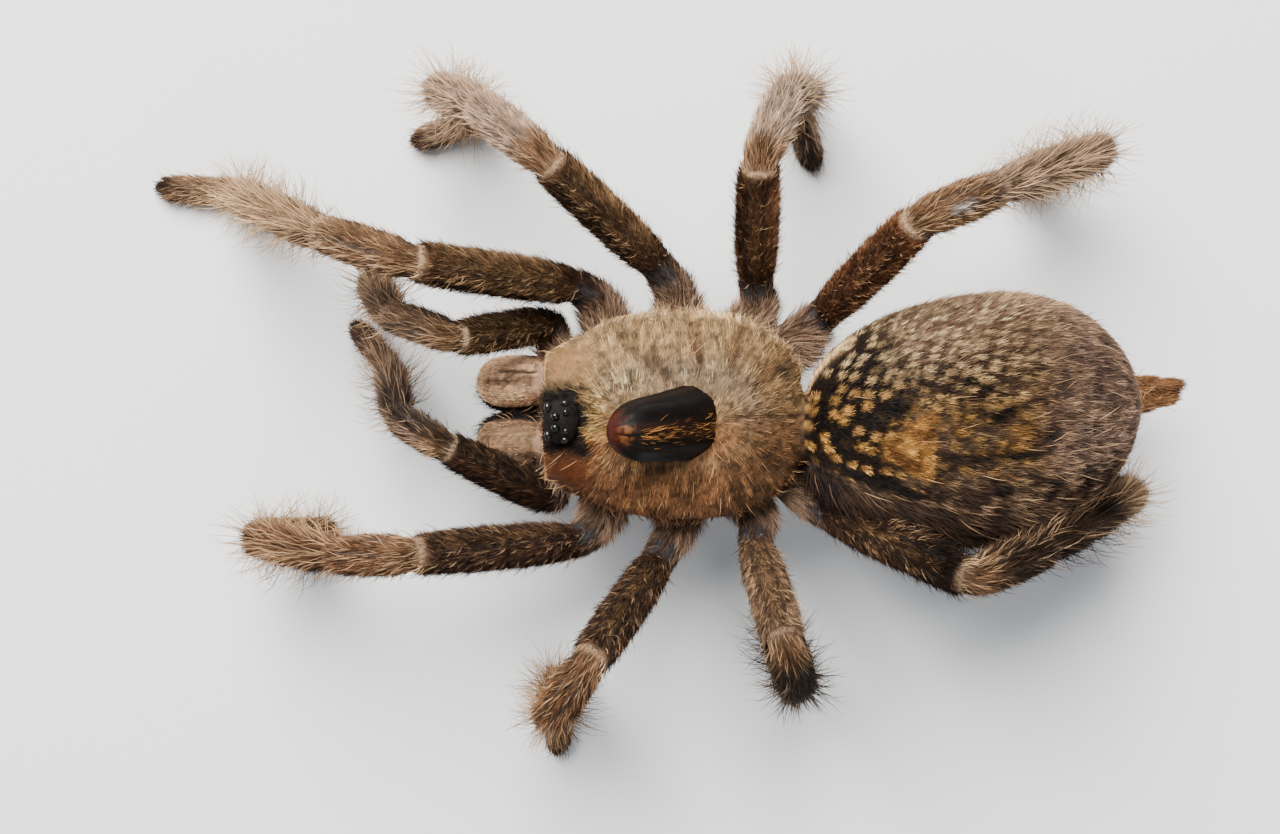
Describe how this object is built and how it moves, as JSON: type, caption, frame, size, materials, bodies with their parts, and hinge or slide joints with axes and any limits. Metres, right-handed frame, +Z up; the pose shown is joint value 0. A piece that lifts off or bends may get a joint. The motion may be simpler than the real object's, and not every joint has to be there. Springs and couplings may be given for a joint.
{
  "type": "horned baboon tarantula",
  "caption": "Still life-size horned tarantula with hairy bent legs, blunt jaws, a forward horn on its shell and a round patterned abdomen, standing on its feet.",
  "frame": {"origin": "middle of the animal's footprint, on the floor that its feet stand on", "axes": "head and jaws towards -X, the animal's right side towards +Y, +Z up"},
  "size_m": [0.0786, 0.0532, 0.0241],
  "materials": {
    "carapace": "short tan and golden hairs lying over a dark shell, rayed out from the horn",
    "horn": "bare hard horn, dark brown to black, reddish at the tip, softly shiny",
    "eye_mound": "bare black mound that carries the eyes",
    "eyes": "wet-looking dark lenses",
    "chelicerae": "pinkish-tan hairs with dark bald stripes along the jaws",
    "fangs": "polished black fangs, dark red at the root",
    "sternum": "short dark brown hairs on the underside",
    "abdomen": "mottled brown coat, golden spots on black in front, dark bars behind",
    "spinnerets": "short orange-brown hairs",
    "legs": "brown and golden hairs, long pale bristles, grey bald stripes at the knees",
    "coat": "separate hairs from dark brown through golden to pale cream"
  },
  "bodies": {
    "root": {"carapace": "carapace", "horn": "horn", "eye_mound": "eye_mound", "eye_front_middle_right": "eyes", "eye_front_middle_left": "eyes", "eye_front_outer_right": "eyes", "eye_front_outer_left": "eyes", "eye_rear_middle_right": "eyes", "eye_rear_middle_left": "eyes", "eye_rear_outer_right": "eyes", "eye_rear_outer_left": "eyes", "chelicera_right": "chelicerae", "chelicera_left": "chelicerae", "fang_right": "fangs", "fang_left": "fangs", "sternum": "sternum", "waist": "sternum", "abdomen": "abdomen", "spinnerets": "spinnerets", "leg1_right_femur": "legs", "leg1_right_tibia": "legs", "leg1_right_foot": "legs", "leg1_left_femur": "legs", "leg1_left_tibia": "legs", "leg1_left_foot": "legs", "leg2_right_femur": "legs", "leg2_right_tibia": "legs", "leg2_right_foot": "legs", "leg2_left_femur": "legs", "leg2_left_tibia": "legs", "leg2_left_foot": "legs", "leg3_right_femur": "legs", "leg3_right_tibia": "legs", "leg3_right_foot": "legs", "leg3_left_femur": "legs", "leg3_left_tibia": "legs", "leg3_left_foot": "legs", "leg4_right_femur": "legs", "leg4_right_tibia": "legs", "leg4_right_foot": "legs", "leg4_left_femur": "legs", "leg4_left_tibia": "legs", "leg4_left_foot": "legs", "palp_right_femur": "legs", "palp_right_tibia": "legs", "palp_left_femur": "legs", "palp_left_tibia": "legs"}
  },
  "joints": []
}
